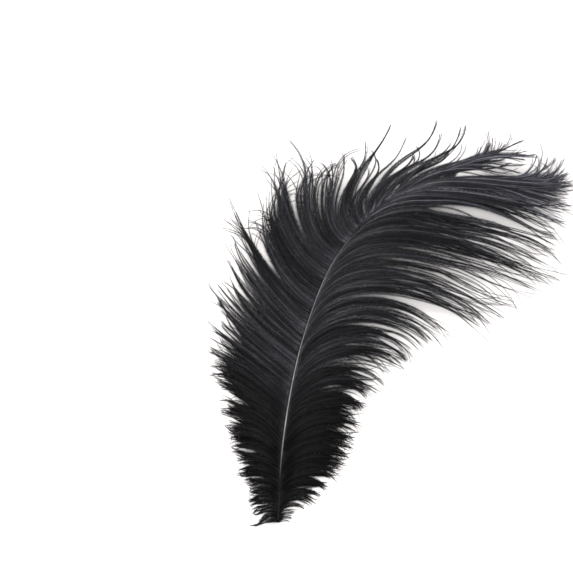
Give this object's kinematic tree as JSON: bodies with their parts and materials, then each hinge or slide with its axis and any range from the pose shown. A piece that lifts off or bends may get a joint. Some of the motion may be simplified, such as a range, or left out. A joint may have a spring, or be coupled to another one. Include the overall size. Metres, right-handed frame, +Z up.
{
  "type": "ostrich feather",
  "caption": "Black ostrich plume lying flat: a slender curved shaft fringed on both sides with soft, loose barbs that part into pointed locks.",
  "frame": {"origin": "on the surface that the feather lies on, below the middle of its outline", "axes": "+Z up off the surface, +Y from the quill's cut end along the straight part of the shaft, +X to the side that the feather's end bends towards"},
  "size_m": [0.1983, 0.2274, 0.0204],
  "materials": {
    "barbs": "soft black-dyed keratin barbs with a faint cool sheen",
    "shaft": "satin grey-brown horn of the quill and shaft, stained by the dye"
  },
  "bodies": {
    "root": {"feather": "barbs"}
  },
  "joints": []
}
